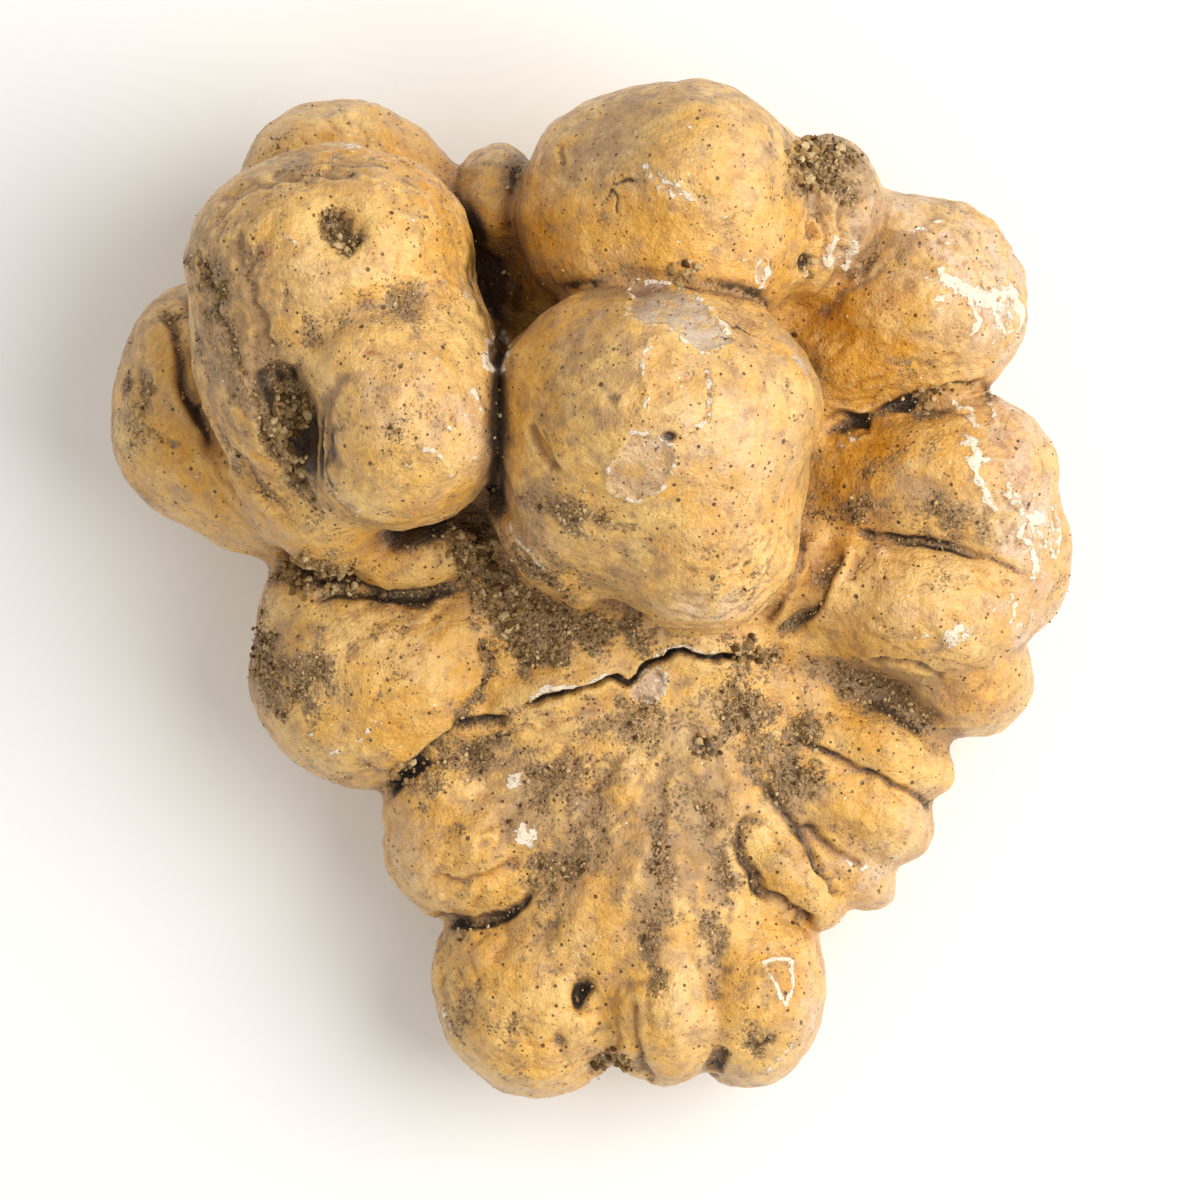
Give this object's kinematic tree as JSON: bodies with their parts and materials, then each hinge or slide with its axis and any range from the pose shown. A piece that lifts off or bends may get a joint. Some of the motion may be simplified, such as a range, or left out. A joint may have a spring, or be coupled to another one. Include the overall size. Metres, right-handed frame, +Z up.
{
  "type": "white truffle",
  "caption": "Whole knobbly white truffle: swollen lobes and folded wings around a low middle, resting on a small flat spot.",
  "frame": {"origin": "centre of the bounding box in plan, at the level of the flat spot underneath", "axes": "+Z up, +Y towards the tall rounded top lobes and -Y towards the low fan of folds, +X towards the broad wings"},
  "size_m": [0.1026, 0.109, 0.0619],
  "materials": {
    "skin": "dry, matt to softly waxy ochre skin with darker soil stains, fine dark specks and paler rubbed lobe ends",
    "soil": "dry grey-brown soil crumbs that cling in the folds and hollows"
  },
  "bodies": {
    "root": {"truffle": "skin"}
  },
  "joints": []
}
